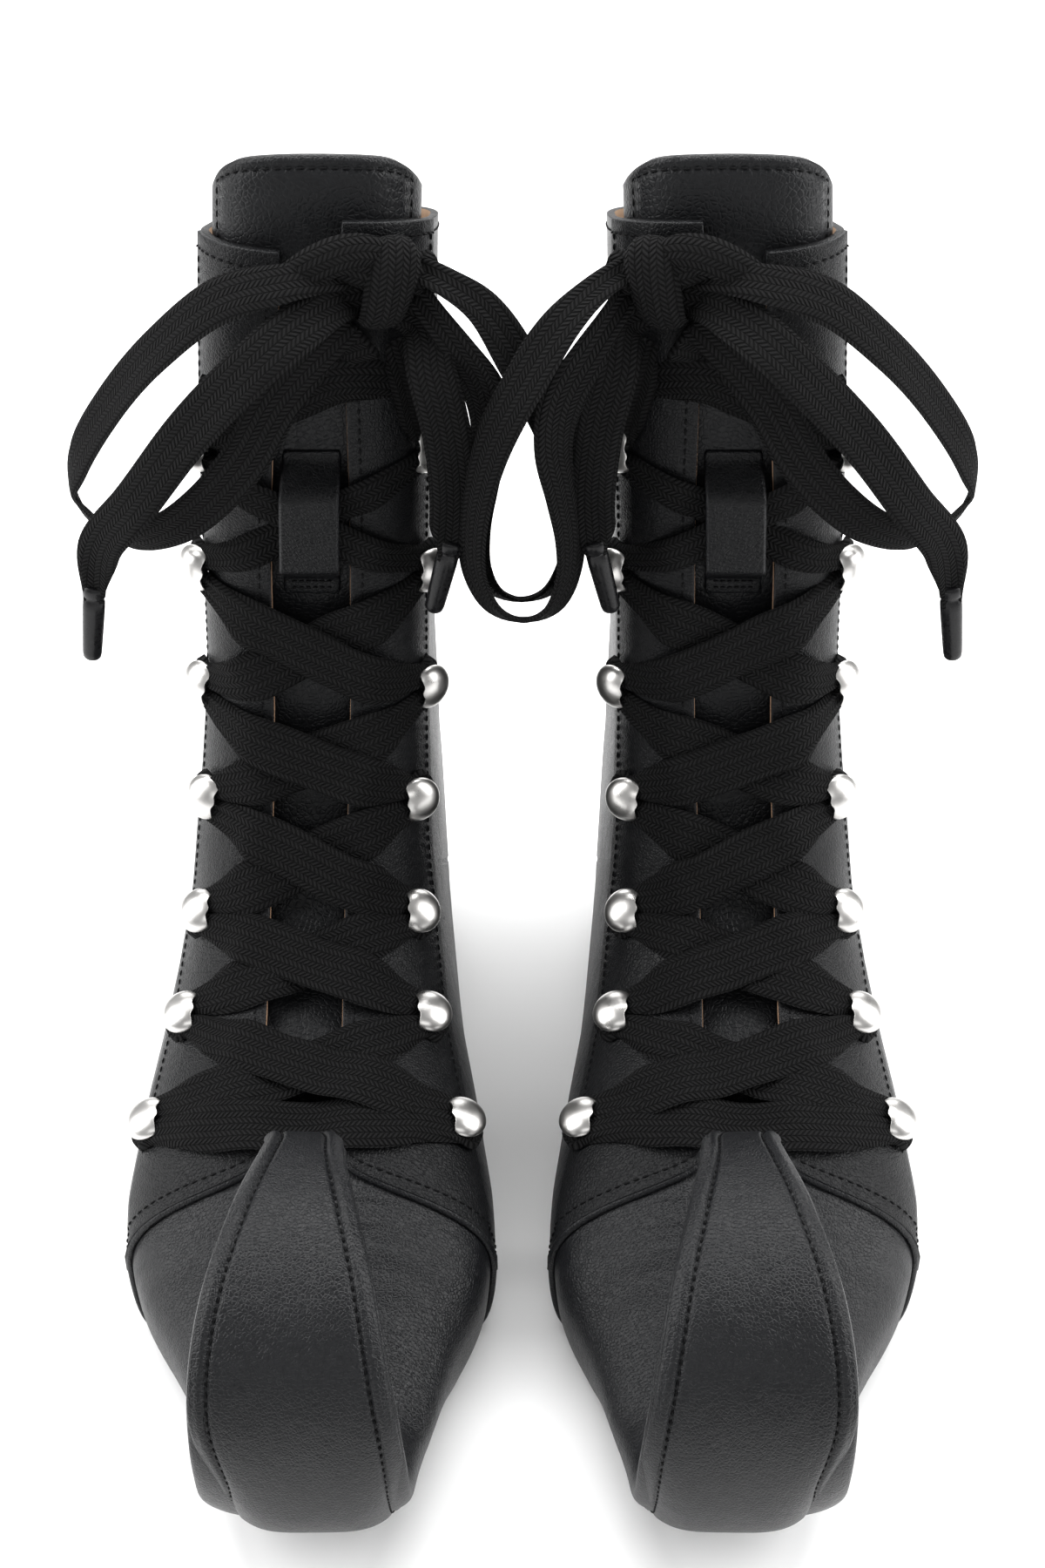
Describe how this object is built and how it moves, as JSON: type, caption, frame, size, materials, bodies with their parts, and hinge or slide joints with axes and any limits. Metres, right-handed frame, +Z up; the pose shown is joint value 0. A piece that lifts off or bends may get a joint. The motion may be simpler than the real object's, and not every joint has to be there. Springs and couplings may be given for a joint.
{
  "type": "boxing boots",
  "caption": "Pair of high black leather lace-up boots with curled toes, domed speed hooks, strapped tongues and flat woven laces tied in bows.",
  "frame": {"origin": "middle of the pair on the floor, measured without the free laces", "axes": "toes point to -Y, +Z up, the boots stand side by side along X"},
  "size_m": [0.2324, 0.293, 0.2807],
  "materials": {
    "leather": "black smooth leather with a fine grain, semi-gloss, raw tan cut edges",
    "tongue_leather": "black pebbled leather, semi-gloss",
    "sole": "thin black sole, satin",
    "sock": "tan lining leather, matt",
    "lace": "flat woven black cotton, matt",
    "hook": "polished nickel",
    "aglet": "black crimped plastic"
  },
  "bodies": {
    "left_boot": {"left_outsole": "sole", "left_insole": "sock", "left_vamp": "leather", "left_toe_curl": "leather", "left_quarter_outer": "leather", "left_quarter_inner": "leather", "left_heel_counter": "leather", "left_lacing": "lace", "left_bow_loop_outer": "lace", "left_bow_loop_inner": "lace", "left_hook_outer_1": "hook", "left_hook_outer_2": "hook", "left_hook_outer_3": "hook", "left_hook_outer_4": "hook", "left_hook_outer_5": "hook", "left_hook_outer_6": "hook", "left_hook_outer_7": "hook", "left_hook_inner_1": "hook", "left_hook_inner_2": "hook", "left_hook_inner_3": "hook", "left_hook_inner_4": "hook", "left_hook_inner_5": "hook", "left_hook_inner_6": "hook", "left_hook_inner_7": "hook"},
    "left_tongue": {"left_tongue": "tongue_leather", "left_tongue_keeper": "leather"},
    "left_lace_end_outer": {"left_lace_end_outer": "lace", "left_aglet_outer": "aglet"},
    "left_lace_end_inner": {"left_lace_end_inner": "lace", "left_aglet_inner": "aglet"},
    "right_boot": {"right_outsole": "sole", "right_insole": "sock", "right_vamp": "leather", "right_toe_curl": "leather", "right_quarter_outer": "leather", "right_quarter_inner": "leather", "right_heel_counter": "leather", "right_lacing": "lace", "right_bow_loop_outer": "lace", "right_bow_loop_inner": "lace", "right_hook_outer_1": "hook", "right_hook_outer_2": "hook", "right_hook_outer_3": "hook", "right_hook_outer_4": "hook", "right_hook_outer_5": "hook", "right_hook_outer_6": "hook", "right_hook_outer_7": "hook", "right_hook_inner_1": "hook", "right_hook_inner_2": "hook", "right_hook_inner_3": "hook", "right_hook_inner_4": "hook", "right_hook_inner_5": "hook", "right_hook_inner_6": "hook", "right_hook_inner_7": "hook"},
    "right_tongue": {"right_tongue": "tongue_leather", "right_tongue_keeper": "leather"},
    "right_lace_end_outer": {"right_lace_end_outer": "lace", "right_aglet_outer": "aglet"},
    "right_lace_end_inner": {"right_lace_end_inner": "lace", "right_aglet_inner": "aglet"}
  },
  "joints": [
    {"name": "pair_slide", "type": "slide", "parent": "left_boot", "child": "right_boot", "axis": [1, 0, 0], "range_m": [0, 0.3]},
    {"name": "left_tongue_hinge", "type": "hinge", "parent": "left_boot", "child": "left_tongue", "pos_m": [-0.0565, -0.0515, 0.045], "axis": [1, 0, 0], "range_deg": [-1, 0]},
    {"name": "left_lace_end_outer_swing", "type": "hinge", "parent": "left_boot", "child": "left_lace_end_outer", "pos_m": [-0.04, 0.036, 0.2515], "axis": [1, 0, 0], "range_deg": [-8, 0]},
    {"name": "left_lace_end_inner_swing", "type": "hinge", "parent": "left_boot", "child": "left_lace_end_inner", "pos_m": [-0.024, 0.0375, 0.2455], "axis": [1, 0, 0], "range_deg": [-8, 0]},
    {"name": "right_tongue_hinge", "type": "hinge", "parent": "right_boot", "child": "right_tongue", "pos_m": [0.0565, -0.0515, 0.045], "axis": [1, 0, 0], "range_deg": [-1, 0]},
    {"name": "right_lace_end_outer_swing", "type": "hinge", "parent": "right_boot", "child": "right_lace_end_outer", "pos_m": [0.04, 0.036, 0.2515], "axis": [1, 0, 0], "range_deg": [-8, 0]},
    {"name": "right_lace_end_inner_swing", "type": "hinge", "parent": "right_boot", "child": "right_lace_end_inner", "pos_m": [0.024, 0.0375, 0.2455], "axis": [1, 0, 0], "range_deg": [-8, 0]}
  ]
}
